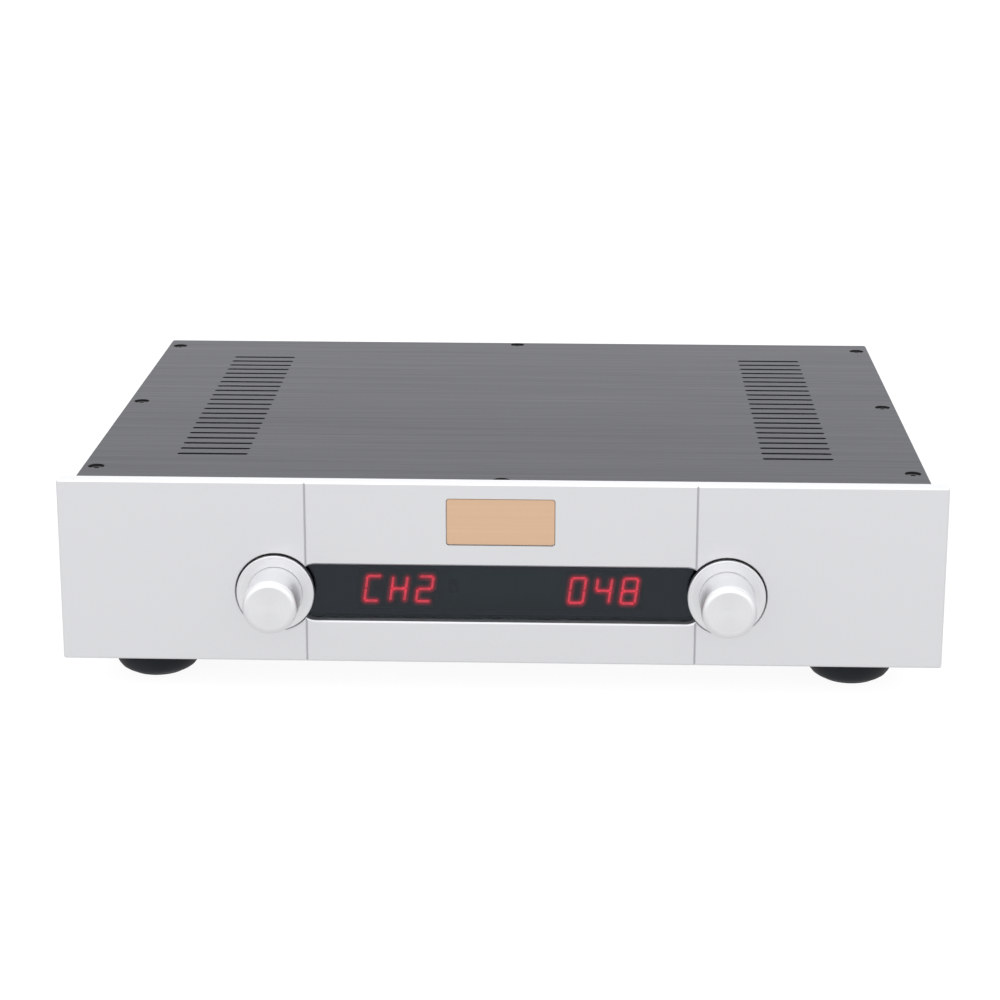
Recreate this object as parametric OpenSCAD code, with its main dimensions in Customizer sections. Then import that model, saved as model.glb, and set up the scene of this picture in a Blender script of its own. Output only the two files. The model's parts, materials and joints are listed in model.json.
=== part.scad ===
// Integrated stereo amplifier: a folded and plate-built case behind a thick aluminium front panel,
// with two push-and-turn knobs, a red LED display, internal heatsinks and a toroidal transformer.
// Everything is drawn in the case frame (y = 0 on the front panel's face, z = 0 on the floor)
// and moved by in_case() so that the origin is the centre of the footprint.

/* [Case] */
// Width of the front panel
panel_w = 430; // [426:1:440]
// Height of the front panel
panel_h = 91; // [90:1:96]
// Thickness of the front panel
panel_t = 8; // [8:0.5:12]
// Chamfer around the front panel's face
panel_edge = 0.8; // [0.5:0.1:2]
// Width of the case behind the front panel
case_w = 416; // [414:1:418]
// Depth of the case behind the front panel
case_d = 315; // [314:1:325]
// How far the front panel stands above and below the case
reveal = 1.5; // [1:0.5:2]
// Thickness of the top cover
cover_t = 3; // [3:0.5:4]
// Thickness of the side panels
side_t = 10; // [9:0.5:11]
// Thickness of the sub panel, rear panel and bottom plate
sheet_t = 2; // [1.5:0.5:2]

/* [Front panel] */
// Distance of each engraved line from the middle
groove_x = 94.8; // [93:0.1:96]
// Width of the engraved lines
groove_w = 1.2; // [0.8:0.1:1.6]
// Length of the display opening
window_w = 199; // [198:1:201]
// Height of the display opening
window_h = 28.8; // [28:0.1:30]
// Corner radius of the display opening
window_r = 9.5; // [8:0.5:12]
// Chamfer around the display opening
window_edge = 0.7; // [0.5:0.1:1]
// Height of the display opening's middle above the panel's lower edge
window_up = 35.3; // [34:0.1:36]
// Width of the nameplate's pocket
badge_w = 53; // [48:1:58]
// Height of the nameplate's pocket
badge_h = 23.5; // [20:0.5:24]
// Height of the nameplate's middle above the panel's lower edge
badge_z = 71.8; // [70:0.1:72]

/* [Knobs] */
// Distance of each knob from the middle
knob_x = 109.7; // [109:0.1:111]
// Height of the knobs' axes above the panel's lower edge
knob_up = 35.4; // [34:0.1:36]
// Radius of the holes that the knobs' skirts turn in
knob_hole_r = 19.6; // [19.4:0.1:19.8]
// Radius of the knobs' skirts
skirt_r = 18.9; // [18:0.1:19]
// Radius of the knobs' grips
grip_r = 13.3; // [12:0.1:14]
// How far the grips stand out of the panel
knob_out = 26.5; // [22:0.1:28]
// Travel of the push switch in each encoder
push_travel = 0.5; // [0.3:0.1:0.8]

/* [Top cover] */
// Number of slots on each side
slot_n = 22; // [10:1:22]
// Distance between slots
slot_pitch = 10.5; // [8:0.5:10.5]
// Width of a slot
slot_w = 3; // [2:0.5:4]
// Length of a slot
slot_len = 35.5; // [30:0.5:36]
// Distance of each row of slots from the middle
slot_x = 147; // [145:0.5:148]
// Distance of the first slot from the cover's front edge
slot_first = 49.8; // [49:0.1:52]

/* [Feet] */
// Height of the feet
foot_h = 17; // [16:0.5:20]
// Radius of the feet at the top
foot_r = 22; // [20:0.5:23]
// Radius of the ring that the feet stand on
foot_rest_r = 15; // [13:0.5:16]
// Distance of the feet from the middle
foot_x = 173.7; // [168:0.1:174]

/* [Rear panel] */
// How far the speaker terminals stand out of the rear panel
post_out = 28; // [28:1:32]
// How far a terminal cap unscrews
cap_travel = 6; // [4:0.5:8]

/* [Hidden] */
$fn = 64;
eps = 0.01;          // overlap that keeps a cut's faces from lying on a solid's

// Levels and planes of the case
panel_z = foot_h - reveal;                    // lower edge of the front panel
case_z = foot_h;                              // underside of the bottom plate
case_top = panel_z + panel_h - reveal;        // upper face of the top cover
floor_z = case_z + sheet_t;                   // upper face of the bottom plate
roof_z = case_top - cover_t;                  // lower face of the top cover
wall_h = roof_z - floor_z;                    // height of the side, sub and rear panels
sub_y = panel_t;                              // front of the sub panel
inner_y = panel_t + sheet_t;                  // back of the sub panel
rear_y = panel_t + case_d;                    // outer face of the rear panel
rear_in_y = rear_y - sheet_t;                 // inner face of the rear panel
total_d = knob_out + rear_y + post_out;       // from the grips' faces to the terminals' ends
front_y = knob_out - total_d / 2;             // the panel's face in the row frame
knob_z = panel_z + knob_up;
window_z = panel_z + window_up;

// Fasteners: tapped holes and shanks are drawn at the thread's root
tap_r = 1.65;
shank_r = 1.6;
clear_r = 2.2;
head_r = 4.1;         // radius of a countersink at the surface
head_sink = 0.9;      // how far a countersunk head lies below it
socket_af = 2.5;      // hexagon socket, across flats
cover_screw_x = 201.1;
cover_screw_in = [24.1, 159.9, 299.2];        // from the cover's front edge
cover_screw_mid = 5;                          // middle screws, from the front and rear edges
panel_screw_x = 180;
panel_screw_z = [panel_z + 12, panel_z + 79];
side_screw_z = [floor_z + 14, roof_z - 14];

// Knobs, from the axis and the panel's face
skirt_out = 2.3;      // the skirt's rim stands this far out
skirt_back = 2.5;     // and reaches this far in
skirt_dish = 0.2;     // and slopes in this much towards the grip
grip_groove = [0.3, 0.5];   // width and depth of the groove around the grip's foot
grip_round = 3;
shaft_r = 3;
shaft_tail_r = 2;
shaft_tail_y = inner_y + 1.3;
shaft_end_y = inner_y + 6.2;
bushing_r = 3.5;
rotor_r = 5;
rotor_y = inner_y + 2.2;
rotor_t = 2;

// Display: seven-segment digits
window_y = 5.3;       // front of the smoked window behind the panel's face
window_t = 1.7;
led_y = 8.6;          // face of the LED modules
led_x = 50;
led_w = 37.6;
led_h = 19;
led_t = 8;
digit_pitch = 12.7;
digit_w = 6.9;        // between the middles of the upright segments
digit_h = 12.7;       // between the middles of the top and bottom segments
segment_w = 1.1;
segment_gap = 0.35;
segment_t = 0.3;
slant = tan(8);
channel_digits = ["adef", "bcefg", "abdeg"];
volume_digits = ["abcdef", "bcfg", "abcdefg"];
board_t = 1.6;
display_board_y = led_y + led_t;

// Mains inlet, with its fuse drawer and rocker
inlet_x = -166;
inlet_z = panel_z + 44;
inlet_w = 30;
inlet_h = 60;
inlet_flange = 3;
inlet_deep = 24;      // behind the rear panel
socket_w = 24.4;
socket_h = 16.6;
socket_deep = 19;
socket_up = -16;      // the middle of the socket, from the inlet's
pin_len = 13.5;
drawer_up = 1.5;
drawer_w = 23.4;
drawer_h = 7.4;
drawer_deep = 16;
rocker_up = 16.5;
rocker_w = 20;
rocker_h = 12.6;
rocker_tilt = 9;      // either side of level
rocker_pivot_y = rear_y + 1;

// Speaker terminals and sockets on the rear panel
post_z = panel_z + 45;
post_x = [-36, -55.05, -96, -115.05];         // left +, left -, right +, right -
stud_r = 3;
banana_r = 2;
banana_deep = 20;
base_t = 5;
ring_t = 2;
face_gap = 0.06;      // between faces that part when a cap is turned
cap_r = 7.8;
rca_x = [66, 92, 118, 144];
rca_z = [panel_z + 30, panel_z + 60];
rca_r = 4.15;
rca_out = 12;
rca_pin_r = 1.6;

// Inside
heatsink_x = [122, 168];                      // inner and outer face, from the middle
heatsink_y = [46, 271];
heatsink_z = [floor_z, roof_z - 6];
fin_pitch = 9;
fin_t = 1.8;
torus_y = 106;
torus_r = [20, 59];
torus_h = 54;
pad_t = 2;
torus_z = floor_z + pad_t;
standoff_h = 10;
psu_y = [178, 262];
psu_x = 52;
amp_x = [62, 116.8];
amp_y = [62, 246];
amp_post_y = [68, 240];
board_z = floor_z + standoff_h;
input_board_y = rear_in_y - 16;

module in_case() translate([0, front_y, 0]) children();
module both_sides() for (side = [-1, 1]) translate([side, 0, 0]) children();

// Turns a shape drawn upwards so that it points to the front or to the rear.
module to_front() rotate([90, 0, 0]) children();
module to_rear() rotate([-90, 0, 0]) children();

module rounded_rect(w, h, r) {
    square([w - 2 * r, h], center = true);
    square([w, h - 2 * r], center = true);
    for (x = [-1, 1], y = [-1, 1]) translate([x * (w / 2 - r), y * (h / 2 - r)]) circle(r);
}

// A slab of thickness c whose outline draws in by c from its lower to its upper face.
module bevel_slab(w, h, r, c) {
    for (x = [-1, 1], y = [-1, 1])
        translate([x * (w / 2 - r), y * (h / 2 - r), 0]) cylinder(r1 = r, r2 = r - c, h = c);
    rotate([90, 0, 90]) linear_extrude(w - 2 * r, center = true)
        polygon([[-h / 2, 0], [h / 2, 0], [h / 2 - c, c], [c - h / 2, c]]);
    rotate([90, 0, 0]) linear_extrude(h - 2 * r, center = true)
        polygon([[-w / 2, 0], [w / 2, 0], [w / 2 - c, c], [c - w / 2, c]]);
}

// A plate on z = 0 with rounded corners and its upper edges chamfered by c.
module plate(w, h, t, r, c) {
    linear_extrude(t - c) rounded_rect(w, h, r);
    translate([0, 0, t - c]) bevel_slab(w, h, r, c);
}

module slot(len, w, deep) linear_extrude(deep) {
    square([len - w, w], center = true);
    for (x = [-1, 1]) translate([x * (len - w) / 2, 0]) circle(w / 2);
}

// Screws are drawn with the head's top on z = 0 and the shank pointing down.
module hex_socket() translate([0, 0, -1.5]) cylinder(d = socket_af / cos(30), h = 1.5 + eps, $fn = 6);

module flat_head_screw(len) difference() {
    union() {
        cylinder(r = shank_r, h = len);
        r = head_r - head_sink - 0.05;
        translate([0, 0, len - 1.5]) cylinder(r1 = r - 1.5, r2 = r, h = 1.5);
    }
    translate([0, 0, len]) hex_socket();
}

module pan_head_screw(len, r = shank_r, head = 3.6) difference() {
    union() {
        cylinder(r = r, h = len);
        translate([0, 0, len]) cylinder(r = head, h = 2.4);
    }
    translate([0, 0, len + 2.4]) hex_socket();
}

// The hole for a flat-head screw in a sheet whose outer face is on z = 0.
module countersink(t) {
    translate([0, 0, -t - eps]) cylinder(r = clear_r, h = t + 2 * eps);
    translate([0, 0, clear_r - head_r]) cylinder(r1 = clear_r, r2 = head_r, h = head_r - clear_r);
    cylinder(r = head_r, h = 1);
}

// ---- Front ----

module front_panel() in_case() color("gainsboro") difference() {
    translate([0, panel_t, panel_z + panel_h / 2])
        to_front() plate(panel_w, panel_h, panel_t, panel_edge + 0.3, panel_edge);
    window_cut();
    for (side = [-1, 1]) {
        translate([side * knob_x, -1, knob_z]) to_rear() cylinder(r = knob_hole_r, h = panel_t + 2);
        translate([side * knob_x, 0, knob_z]) to_rear()
            cylinder(r1 = knob_hole_r + 0.4, r2 = knob_hole_r, h = 0.4);
        translate([side * groove_x, 0, panel_z - 1]) linear_extrude(panel_h + 2)
            polygon([[-groove_w / 2, 0], [-groove_w / 2, -1], [groove_w / 2, -1], [groove_w / 2, 0],
                [0, groove_w / 2]]);
        for (z = panel_screw_z)
            translate([side * panel_screw_x, panel_t + eps, z]) to_front() cylinder(r = tap_r, h = 6);
    }
    translate([0, 1.5, panel_z + badge_z]) to_front() linear_extrude(2) rounded_rect(badge_w, badge_h, 1.6);
}

module window_cut() translate([0, 0, window_z]) {
    translate([0, panel_t + 1, 0]) to_front() linear_extrude(panel_t + 2)
        rounded_rect(window_w, window_h, window_r);
    to_rear() bevel_slab(window_w + 2 * window_edge, window_h + 2 * window_edge, window_r + window_edge,
        window_edge);
}

module nameplate() in_case() color("burlywood")
    translate([0, 1.5, panel_z + badge_z]) to_front() plate(badge_w - 0.6, badge_h - 0.6, 0.9, 1.3, 0.2);

// The smoked window closes the opening, bonded to the thin bezel behind it.
module display_window() in_case() color([0.1, 0.1, 0.12, 0.6])
    translate([0, window_y + window_t, window_z])
        to_front() linear_extrude(window_t) rounded_rect(window_w - 0.4, window_h - 0.4, window_r - 0.2);

module display_bezel() in_case() color("black") translate([0, panel_t, window_z]) difference() {
    to_front() linear_extrude(panel_t - window_y - window_t)
        rounded_rect(window_w - 0.4, window_h - 0.4, window_r - 0.2);
    translate([0, 1, 0]) to_front() linear_extrude(panel_t)
        rounded_rect(window_w - 6, window_h - 3, window_r - 2);
}

module front_subpanel() in_case() color("dimgray") difference() {
    union() {
        translate([-case_w / 2, sub_y, floor_z]) cube([case_w, sheet_t, wall_h]);
        translate([-13, sub_y, roof_z - sheet_t]) cube([26, 11, sheet_t]);
    }
    translate([-70, sub_y - 1, window_z - 10.5]) cube([140, sheet_t + 2, 21]);
    translate([0, sub_y + cover_screw_mid, roof_z - sheet_t - 1]) cylinder(r = tap_r, h = sheet_t + 2);
    for (side = [-1, 1]) {
        translate([side * knob_x, sub_y - 1, knob_z]) to_rear()
            cylinder(r = bushing_r + 0.1, h = sheet_t + 2);
        for (z = panel_screw_z)
            translate([side * panel_screw_x, sub_y - 1, z]) to_rear()
                cylinder(r = clear_r, h = sheet_t + 2);
        for (z = side_screw_z)
            translate([side * (case_w - side_t) / 2, sub_y - 1, z]) to_rear()
                cylinder(r = clear_r, h = sheet_t + 2);
    }
}

// ---- Knobs and encoders ----

grip_arc = [for (a = [0:15:90]) [grip_r - grip_round + grip_round * cos(a),
    knob_out - grip_round + grip_round * sin(a)]];
knob_outline = concat(
    [[0, -skirt_back], [skirt_r - 0.3, -skirt_back], [skirt_r, 0.3 - skirt_back],
        [skirt_r, skirt_out - 0.4],
     [skirt_r - 0.4, skirt_out], [grip_r + grip_groove[0], skirt_out - skirt_dish],
     [grip_r + grip_groove[0], skirt_out - skirt_dish - grip_groove[1]],
     [grip_r, skirt_out - skirt_dish - grip_groove[1]]],
    grip_arc,
    [[0, knob_out]]);

module knob() {
    difference() {
        to_front() rotate_extrude() polygon(knob_outline);
        translate([0, 10, 0]) to_front() cylinder(r = shaft_r + 0.02, h = 10 + 13.2);
        translate([0, -8, -grip_r - 1]) cylinder(r = 1.25, h = grip_r + 1);
    }
    difference() {
        translate([0, -8, 0.4 - grip_r]) cylinder(r = 1.2, h = grip_r - shaft_r);
        translate([0, -8, 1.4 - grip_r]) mirror([0, 0, 1]) cylinder(d = 1.5 / cos(30), h = 2, $fn = 6);
    }
}

// The shaft turns with the knob, and slides through the rotor when the knob is pushed.
module encoder_shaft() difference() {
    union() {
        translate([0, shaft_tail_y, 0]) to_front() cylinder(r = shaft_r, h = shaft_tail_y + 13);
        translate([0, shaft_end_y, 0]) to_front() cylinder(r = shaft_tail_r, h = shaft_end_y);
    }
    translate([-4, -14, -5.5]) cube([8, 11, 3]);
}

module encoder_rotor() difference() {
    translate([0, rotor_y + rotor_t, 0]) to_front() cylinder(r = rotor_r, h = rotor_t);
    translate([0, rotor_y + rotor_t + 1, 0]) to_front() cylinder(r = shaft_tail_r + 0.05, h = rotor_t + 2);
}

module encoder_housing() difference() {
    union() {
        translate([-8, inner_y, -7]) cube([16, 7.5, 14]);
        translate([0, inner_y + 1, 0]) to_front() cylinder(r = bushing_r, h = inner_y - 4);
    }
    translate([0, inner_y + 1.4, 0]) to_front() cylinder(r = shaft_r + 0.05, h = inner_y);
    translate([0, rotor_y + rotor_t + 0.3, 0]) to_front() cylinder(r = rotor_r + 0.2, h = rotor_t + 1.4);
    translate([0, shaft_end_y + push_travel + 0.2, 0]) to_front() cylinder(r = shaft_tail_r + 0.1, h = 3);
}

module at_knob(side) in_case() translate([side * knob_x, 0, knob_z]) children();

module input_knob() color("whitesmoke") at_knob(-1) knob();
module volume_knob() color("whitesmoke") at_knob(1) knob();
module input_encoder_shaft() color("silver") at_knob(-1) encoder_shaft();
module volume_encoder_shaft() color("silver") at_knob(1) encoder_shaft();
module input_encoder_rotor() color("ivory") at_knob(-1) encoder_rotor();
module volume_encoder_rotor() color("ivory") at_knob(1) encoder_rotor();
module encoder_housings() color("gray") for (side = [-1, 1]) at_knob(side) encoder_housing();

// The encoders' nuts, the display board's spacers, and the screws that hold the front panel from behind.
module front_fasteners() color("lightgray") {
    in_case() for (x = [-84, 84], z = [window_z - 10, window_z + 10]) translate([x, inner_y, z]) to_rear()
        cylinder(d = 5 / cos(30), h = display_board_y - inner_y, $fn = 6);
    for (side = [-1, 1]) at_knob(side) translate([0, sub_y, 0]) to_front() difference() {
        cylinder(d = 10 / cos(30), h = 2, $fn = 6);
        translate([0, 0, -1]) cylinder(r = bushing_r + 0.02, h = 4);
    }
    in_case() for (side = [-1, 1], z = panel_screw_z)
        translate([side * panel_screw_x, inner_y - 7, z]) to_rear() pan_head_screw(7);
}

// ---- Display ----

// Segments a to g: bars with pointed ends, a gap apart at the corners.
level = let (x = digit_w / 2 - segment_gap, p = segment_w / 2)
    [[-x, 0], [p - x, p], [x - p, p], [x, 0], [x - p, -p], [p - x, -p]];
upright = let (x = digit_w / 2, y = digit_h / 2 - segment_gap, g = segment_gap, p = segment_w / 2)
    [[x, y], [x + p, y - p], [x + p, g + p], [x, g], [x - p, g + p], [x - p, y - p]];
function moved(outline, y) = [for (p = outline) [p.x, p.y + y]];
function flipped(outline, x, y) = [for (p = outline) [x * p.x, y * p.y]];
bars = [moved(level, digit_h / 2), upright, flipped(upright, 1, -1), moved(level, -digit_h / 2),
    flipped(upright, -1, -1), flipped(upright, -1, 1), level];
function slanted(outline) = [for (p = outline) [p.x + p.y * slant, p.y]];

module digit(lit) for (i = search(lit, "abcdefg")) linear_extrude(segment_t) polygon(slanted(bars[i]));

module digits(words) for (i = [0:2]) translate([(i - 1) * digit_pitch, 0, 0]) digit(words[i]);

module lit_segments() color("red") in_case() {
    translate([-led_x, led_y, window_z]) to_front() digits(channel_digits);
    translate([led_x, led_y, window_z]) to_front() digits(volume_digits);
}

module led_module(x) in_case() color("black") translate([x - led_w / 2, led_y, window_z - led_h / 2])
    cube([led_w, led_t, led_h]);

module channel_led_module() led_module(-led_x);
module volume_led_module() led_module(led_x);

// The receiver for the remote control, with its domed lens to the front.
module ir_receiver() in_case() color("black") translate([-23.5, 0, window_z]) {
    translate([-2.4, led_y + 1.5, -2.4]) cube([4.8, display_board_y - led_y - 1.5, 4.8]);
    translate([0, led_y + 1.5, -2]) intersection() {
        cylinder(r = 1.8, h = 4);
        translate([-3, -3, 0]) cube([6, 3.5, 4]);
    }
}

module display_board() in_case() color("darkgreen") translate([0, display_board_y, window_z]) {
    translate([-92, 0, -14]) cube([184, board_t, 28]);
    translate([-50, board_t, -6]) cube([12, 2.5, 12]);
    translate([-20, board_t, -5]) cube([18, 3, 7.5]);
    translate([73, board_t, -12]) cube([12, 8, 24]);
}

// ---- Case ----

module side_panel(side) in_case() color("dimgray") difference() {
    translate([side * (case_w - side_t) / 2, (inner_y + rear_in_y) / 2, floor_z]) rotate([0, 0, 90])
        translate([inner_y - rear_in_y, -side_t, 0] / 2) cube([rear_in_y - inner_y, side_t, wall_h]);
    for (y = cover_screw_in) translate([side * cover_screw_x, sub_y + y, 0]) {
        translate([0, 0, roof_z - 9]) cylinder(r = tap_r, h = 10);
        translate([0, 0, floor_z - 1]) cylinder(r = tap_r, h = 10);
    }
    for (z = side_screw_z) {
        translate([side * (case_w - side_t) / 2, inner_y - 1, z]) to_rear() cylinder(r = tap_r, h = 10);
        translate([side * (case_w - side_t) / 2, rear_in_y + 1, z]) to_front() cylinder(r = tap_r, h = 10);
    }
}

module left_side_panel() side_panel(-1);
module right_side_panel() side_panel(1);

module rear_panel() in_case() color("dimgray") difference() {
    union() {
        translate([-case_w / 2, rear_in_y, floor_z]) cube([case_w, sheet_t, wall_h]);
        translate([-13, rear_y - 11, roof_z - sheet_t]) cube([26, 11, sheet_t]);
    }
    translate([0, rear_y - cover_screw_mid, roof_z - sheet_t - 1]) cylinder(r = tap_r, h = sheet_t + 2);
    translate([inlet_x - inlet_w / 2 + 1.4, rear_in_y - 1, inlet_z - inlet_h / 2 + 1.9])
        cube([inlet_w - 2.8, sheet_t + 2, inlet_h - 3.8]);
    for (side = [-1, 1]) {
        translate([inlet_x + side * 20, rear_in_y - 1, inlet_z]) to_rear()
            cylinder(r = tap_r, h = sheet_t + 2);
        for (z = side_screw_z)
            translate([side * (case_w - side_t) / 2, rear_in_y - 1, z]) to_rear()
                cylinder(r = clear_r, h = sheet_t + 2);
    }
    for (x = post_x) translate([x, rear_in_y - 1, post_z]) to_rear() cylinder(r = 4.6, h = sheet_t + 2);
    for (x = rca_x, z = rca_z) translate([x, rear_in_y - 1, z]) to_rear()
        cylinder(r = 4.2, h = sheet_t + 2);
}

module slot_rows(deep) for (side = [-1, 1], i = [0:slot_n - 1])
    translate([side * slot_x, sub_y + slot_first + i * slot_pitch, 0]) slot(slot_len, slot_w, deep);

module top_cover() in_case() color("slategray") difference() {
    translate([0, sub_y + case_d / 2, roof_z]) plate(case_w, case_d, cover_t, 1.5, 0.5);
    translate([0, 0, roof_z - 1]) slot_rows(cover_t + 2);
    cover_screw_places() countersink(cover_t);
}

module cover_screw_places() {
    for (side = [-1, 1], y = cover_screw_in) translate([side * cover_screw_x, sub_y + y, case_top])
        children();
    for (y = [sub_y + cover_screw_mid, rear_y - cover_screw_mid]) translate([0, y, case_top]) children();
}

module cover_screws() in_case() color("black")
    cover_screw_places() translate([0, 0, -head_sink - 8]) flat_head_screw(8);

module bottom_plate() in_case() color("dimgray") difference() {
    translate([-case_w / 2, sub_y, case_z]) cube([case_w, case_d, sheet_t]);
    for (side = [-1, 1], y = cover_screw_in)
        translate([side * cover_screw_x, sub_y + y, case_z - 1]) cylinder(r = clear_r, h = sheet_t + 2);
    for (side = [-1, 1], i = [0:8])
        translate([side * slot_x, sub_y + slot_first + 10 + i * 2 * slot_pitch, case_z - 1])
            slot(slot_len, 4, sheet_t + 2);
    for (side = [-1, 1], y = foot_y) translate([side * foot_x, y, case_z - 1])
        cylinder(r = tap_r, h = sheet_t + 2);
    translate([0, torus_y, case_z - 1]) cylinder(r = 4.1, h = sheet_t + 2);
    standoff_places() translate([0, 0, -sheet_t - 1]) cylinder(r = tap_r, h = sheet_t + 2);
}

// Screws through the bottom plate, sub panel and rear panel into the side panels.
module chassis_screws() in_case() color("black") for (side = [-1, 1]) {
    for (y = cover_screw_in)
        translate([side * cover_screw_x, sub_y + y, case_z + 8]) mirror([0, 0, 1]) pan_head_screw(8);
    for (z = side_screw_z) translate([side * (case_w - side_t) / 2, 0, z]) {
        translate([0, rear_y - 8, 0]) to_rear() pan_head_screw(8);
        translate([0, sub_y + 8, 0]) to_front() cylinder(r = shank_r, h = 8);
    }
    translate([inlet_x + side * 20, rear_y + inlet_flange - 8, inlet_z]) to_rear()
        pan_head_screw(8, head = 3);
}

// ---- Feet ----

foot_y = [34, 287];
foot_side = [for (a = [0:15:90]) [foot_rest_r + (foot_r - foot_rest_r) * sin(a),
    1.2 + (foot_h - 5) * (1 - cos(a))]];

module foot(side, y) in_case() color([0.12, 0.12, 0.13]) translate([side * foot_x, y, 0]) rotate_extrude()
    polygon(concat([[6, 0], [foot_rest_r - 1.2, 0]], foot_side,
        [[foot_r, foot_h], [2.1, foot_h], [2.1, 6], [6, 6]]));

module foot_front_left() foot(-1, foot_y[0]);
module foot_front_right() foot(1, foot_y[0]);
module foot_rear_left() foot(-1, foot_y[1]);
module foot_rear_right() foot(1, foot_y[1]);

module foot_screws() in_case() color("silver") for (side = [-1, 1], y = foot_y)
    translate([side * foot_x, y, foot_h + sheet_t]) mirror([0, 0, 1]) pan_head_screw(foot_h + sheet_t - 6);

// ---- Power supply ----

module transformer() in_case() color("goldenrod") translate([0, torus_y, torus_z + torus_h / 2])
    rotate_extrude()
    translate([(torus_r[0] + torus_r[1]) / 2, 0]) rounded_rect(torus_r[1] - torus_r[0], torus_h, 8);

// Rubber pads above and below the winding, and the dished steel plate that presses on them.
module transformer_clamp() in_case() color("slategray") translate([0, torus_y, 0]) {
    for (z = [floor_z, torus_z + torus_h]) translate([0, 0, z]) difference() {
        cylinder(r = torus_r[1] - 6, h = pad_t);
        translate([0, 0, -1]) cylinder(r = 6, h = pad_t + 2);
    }
    translate([0, 0, torus_z + torus_h + pad_t]) rotate_extrude()
        polygon([[4.1, 0], [torus_r[1] - 8, 0], [torus_r[1] - 6, 2], [torus_r[1] - 7, 3],
            [torus_r[1] - 9, 1.5], [4.1, 1.5]]);
}

module transformer_bolt() in_case() color("silver") translate([0, torus_y, 0]) {
    translate([0, 0, case_z - 3]) cylinder(r = 3.9, h = torus_h + 24);
    translate([0, 0, case_z - 3]) cylinder(d = 13 / cos(30), h = 3, $fn = 6);
    translate([0, 0, torus_z + torus_h + pad_t + 1.5]) difference() {
        cylinder(d = 13 / cos(30), h = 6.5, $fn = 6);
        translate([0, 0, -1]) cylinder(r = 3.95, h = 9);
    }
}

psu_post = [[-psu_x + 5, psu_y[0] + 5], [psu_x - 5, psu_y[0] + 5], [-psu_x + 5, psu_y[1] - 5],
    [psu_x - 5, psu_y[1] - 5]];
amp_post = [for (side = [-1, 1], x = [amp_x[0] + 5, amp_x[1] - 8], y = amp_post_y) [side * x, y]];

module standoff_places() for (p = concat(psu_post, amp_post)) translate([p.x, p.y, floor_z]) children();

module board_standoffs() in_case() color("gold") standoff_places() difference() {
    cylinder(d = 6 / cos(30), h = standoff_h, $fn = 6);
    translate([0, 0, -1]) cylinder(r = tap_r, h = standoff_h + 2);
}

module power_supply_board() in_case() color("darkgreen") difference() {
    translate([-psu_x, psu_y[0], board_z]) cube([2 * psu_x, psu_y[1] - psu_y[0], board_t]);
    for (p = psu_post) translate([p.x, p.y, board_z - 1]) cylinder(r = tap_r, h = board_t + 2);
}

cap_xy = [for (x = [-30, 0, 30], y = [203, 237]) [x, y]];

module filter_capacitors() in_case() color("navy") for (p = cap_xy)
    translate([p.x, p.y, board_z + board_t]) rotate_extrude()
        polygon([[0, 0], [13, 0], [13, 3], [12.5, 3.6], [13, 4.2], [13, 44.5], [12.5, 45], [11.5, 44.6],
            [0, 44.6]]);

module bridge_rectifier() in_case() color("black") translate([20, 292, floor_z]) difference() {
    union() {
        translate([-14, -14, 0]) cube([28, 28, 9]);
        for (x = [-9, 9], y = [-9, 9]) translate([x - 0.4, y - 3, 9]) cube([0.8, 6, 8]);
    }
    translate([0, 0, -1]) cylinder(r = 2.2, h = 12);
}

// ---- Amplifier ----

module heatsink(side) in_case() color("silver") translate([0, 0, heatsink_z[0]])
    linear_extrude(heatsink_z[1] - heatsink_z[0]) {
        depth = heatsink_x[1] - heatsink_x[0];
        translate([side > 0 ? heatsink_x[0] : -heatsink_x[0] - 5, heatsink_y[0]])
            square([5, heatsink_y[1] - heatsink_y[0]]);
        for (y = [heatsink_y[0]:fin_pitch:heatsink_y[1] - fin_t])
            translate([side > 0 ? heatsink_x[0] : -heatsink_x[1], y]) square([depth, fin_t]);
    }

module left_heatsink() heatsink(-1);
module right_heatsink() heatsink(1);

transistor_y = [82, 128, 174, 220];

module amplifier_boards() in_case() color("darkgreen") for (side = [-1, 1]) difference() {
    union() {
        translate([side > 0 ? amp_x[0] : -amp_x[1], amp_y[0], board_z])
            cube([amp_x[1] - amp_x[0], amp_y[1] - amp_y[0], board_t]);
        for (y = transistor_y) translate([side * 98, y, board_z + board_t - eps]) cylinder(r = 5, h = 14);
        for (y = [100, 150, 200]) translate([side * 78 - 6, y, board_z + board_t - eps]) cube([12, 18, 12]);
    }
    for (p = amp_post) translate([p.x, p.y, board_z - 1]) cylinder(r = tap_r, h = board_t + 2);
}

module output_transistors() in_case() color("black") for (side = [-1, 1], y = transistor_y)
    translate([side > 0 ? heatsink_x[0] - 4.8 : -heatsink_x[0], y - 8, board_z + board_t + 8])
        cube([4.8, 16, 20]);

// ---- Inputs and wiring ----

module input_board() in_case() color("darkgreen") difference() {
    translate([54, input_board_y, panel_z + 14]) cube([102, board_t, 62]);
    for (x = rca_x, z = rca_z) translate([x, input_board_y - 1, z]) to_rear()
        cylinder(r = 1.1, h = board_t + 2);
}

module relays() in_case() color("white") for (x = rca_x, z = rca_z)
    translate([x - 5, input_board_y - 10, z - 7]) cube([10, 10, 15]);

// A flat cable that runs along the floor, below the right-hand amplifier board.
module ribbon_cable() in_case() color("lightgray") translate([74, 0, 0]) {
    y0 = display_board_y + board_t + 8;
    y1 = input_board_y - 1;
    translate([0, y0, floor_z + 0.6]) cube([10, 1, knob_z - floor_z]);
    translate([0, y0, floor_z + 0.6]) cube([10, y1 - y0, 1]);
    translate([0, y1, floor_z + 0.6]) cube([10, 1, 22]);
}

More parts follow.
